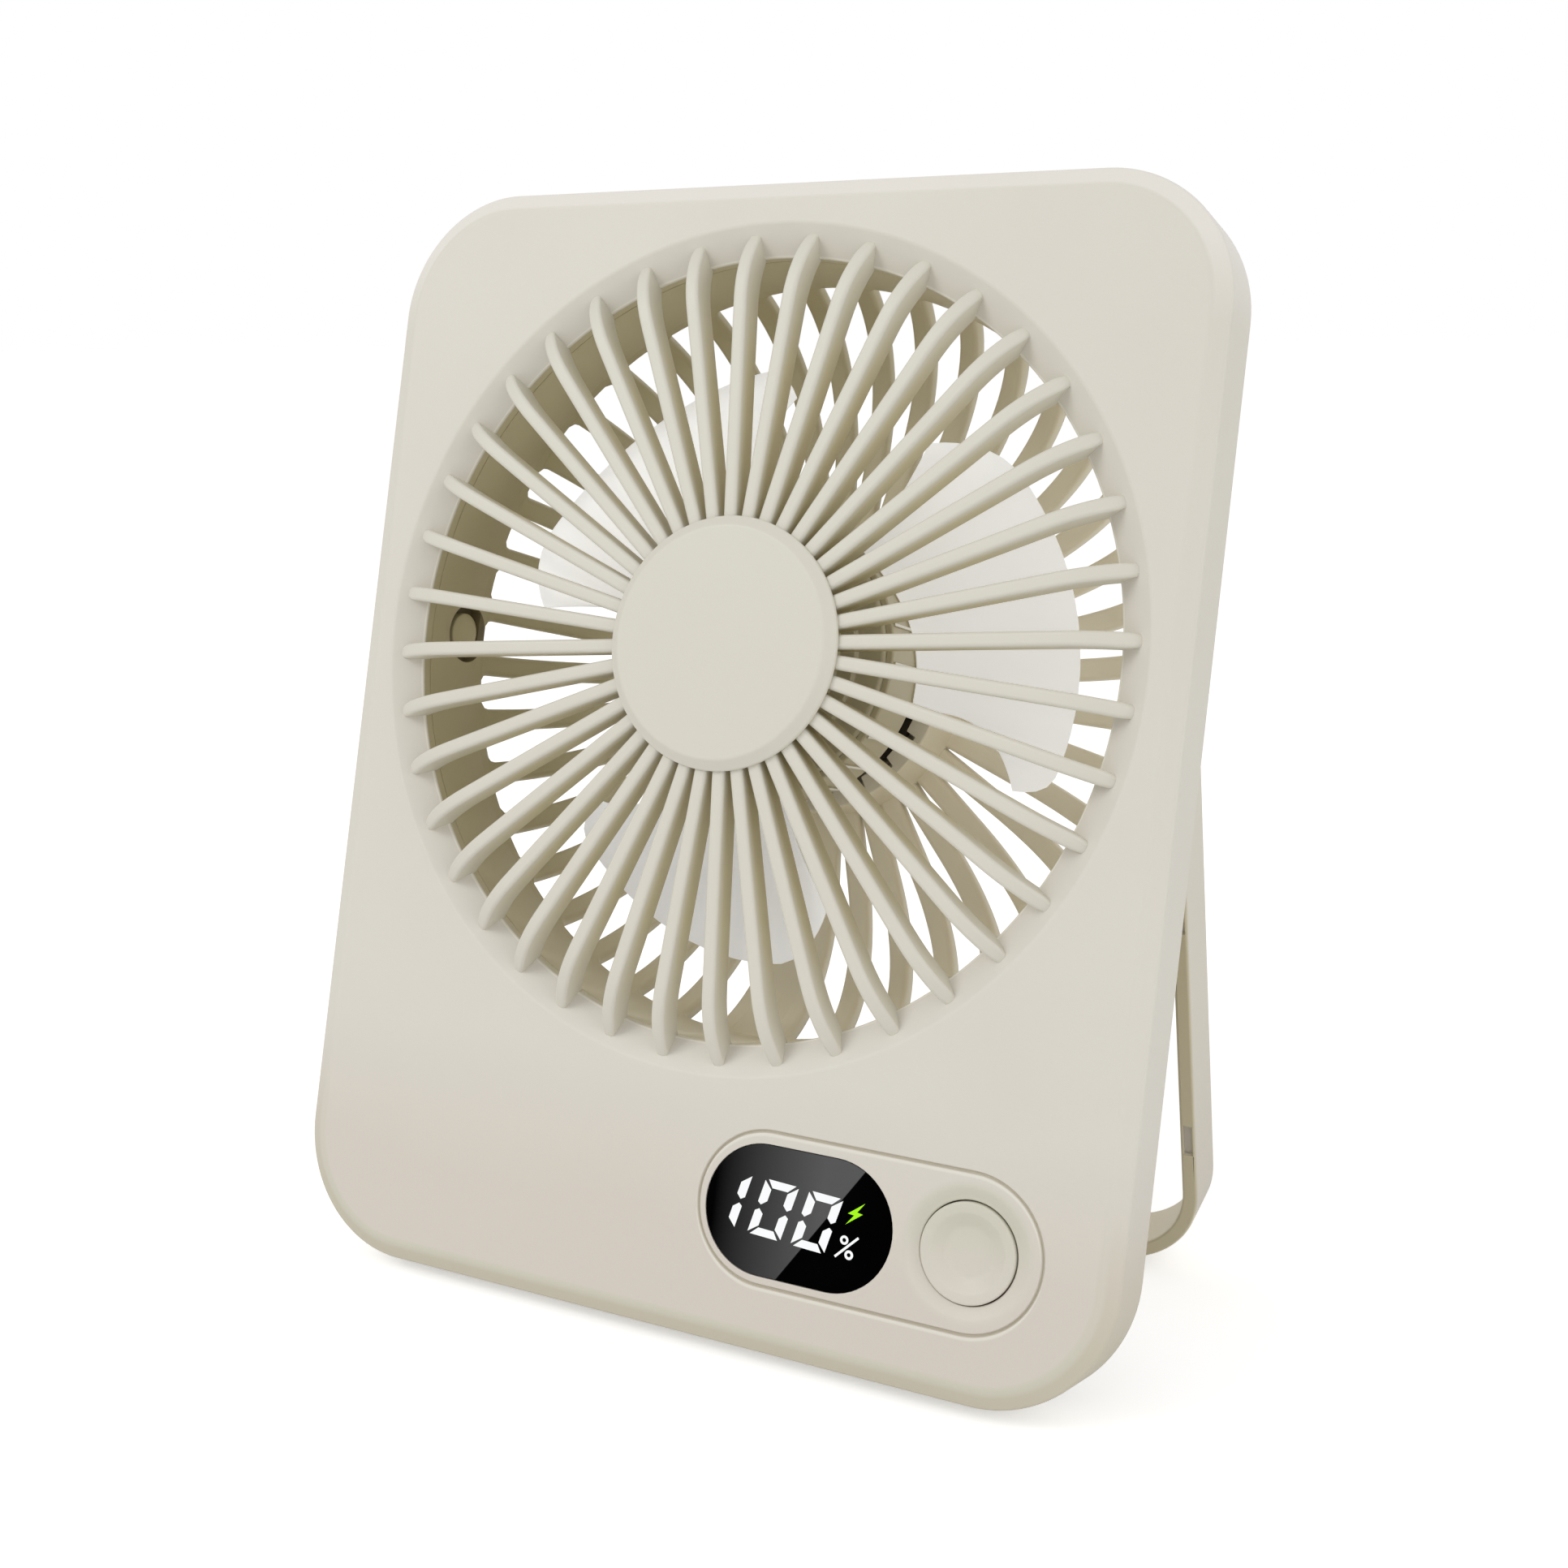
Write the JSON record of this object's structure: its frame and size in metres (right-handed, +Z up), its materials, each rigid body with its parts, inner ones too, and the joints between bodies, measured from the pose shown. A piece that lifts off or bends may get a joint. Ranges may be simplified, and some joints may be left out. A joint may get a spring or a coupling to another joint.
{
  "type": "portable camping fan",
  "caption": "Battery camping fan in a slim rounded body with radial grilles, a round motor cap, a battery display, a push button and a folding bail stand.",
  "frame": {"origin": "on the table, under the middle of the whole fan as it stands on its opened stand", "axes": "+X to the right seen from the front, +Y rearwards, +Z up; the body leans back 15.5 degrees, so the fan's own axis points forwards and up"},
  "size_m": [0.112, 0.059, 0.136],
  "materials": {
    "body_plastic": "fine matte",
    "rear_plastic": "fine matte",
    "hub_plastic": "matte",
    "blade_plastic": "smooth satin",
    "window_plastic": "high gloss",
    "stand_plastic": "fine matte",
    "black_plastic": "matte",
    "circuit_board": "satin",
    "cell_wrap": "satin",
    "steel": "satin",
    "rotor_steel": "satin",
    "copper_wire": "satin",
    "brass_tube": "satin",
    "ferrite": "matte",
    "rubber": "matte"
  },
  "bodies": {
    "root": {"front_shell": "body_plastic", "front_grille": "body_plastic", "centre_cap": "body_plastic", "display_window": "window_plastic", "display_module": "black_plastic", "switch_housing": "black_plastic", "control_board": "circuit_board", "board_screws": "steel", "rear_shell": "rear_plastic", "rear_grille": "rear_plastic", "shell_screws": "steel", "battery_pack": "cell_wrap", "battery_pads": "rubber", "charging_board": "circuit_board", "charging_socket": "steel", "socket_tongue": "black_plastic", "motor_board": "circuit_board", "motor_screws": "steel", "bearing_tube": "brass_tube", "bearings": "steel", "stator_core": "rotor_steel", "stator_windings": "copper_wire", "hinge_washers": "black_plastic"},
    "impeller": {"impeller_hub": "hub_plastic", "impeller_blades": "blade_plastic", "rotor_cup": "rotor_steel", "magnet_ring": "ferrite", "motor_shaft": "steel"},
    "stand": {"stand": "stand_plastic", "stand_strip": "rubber", "hinge_pins": "stand_plastic"},
    "power_button": {"power_button": "body_plastic", "switch_plunger": "black_plastic"}
  },
  "joints": [
    {"name": "fan_spin", "type": "hinge", "parent": "root", "child": "impeller", "pos_m": [0, -0.00713, 0.08141], "axis": [0, 0.9636, -0.2672], "continuous": true},
    {"name": "stand_fold", "type": "hinge", "parent": "root", "child": "stand", "pos_m": [0, 0.00251, 0.07874], "axis": [1, 0, 0], "range_deg": [-28.27, 149]},
    {"name": "button_press", "type": "slide", "parent": "root", "child": "power_button", "axis": [0, 0.9636, -0.2672], "range_m": [0, 0.0005], "stiffness_N_per_m": 1000, "springref_m": -0.0003}
  ]
}
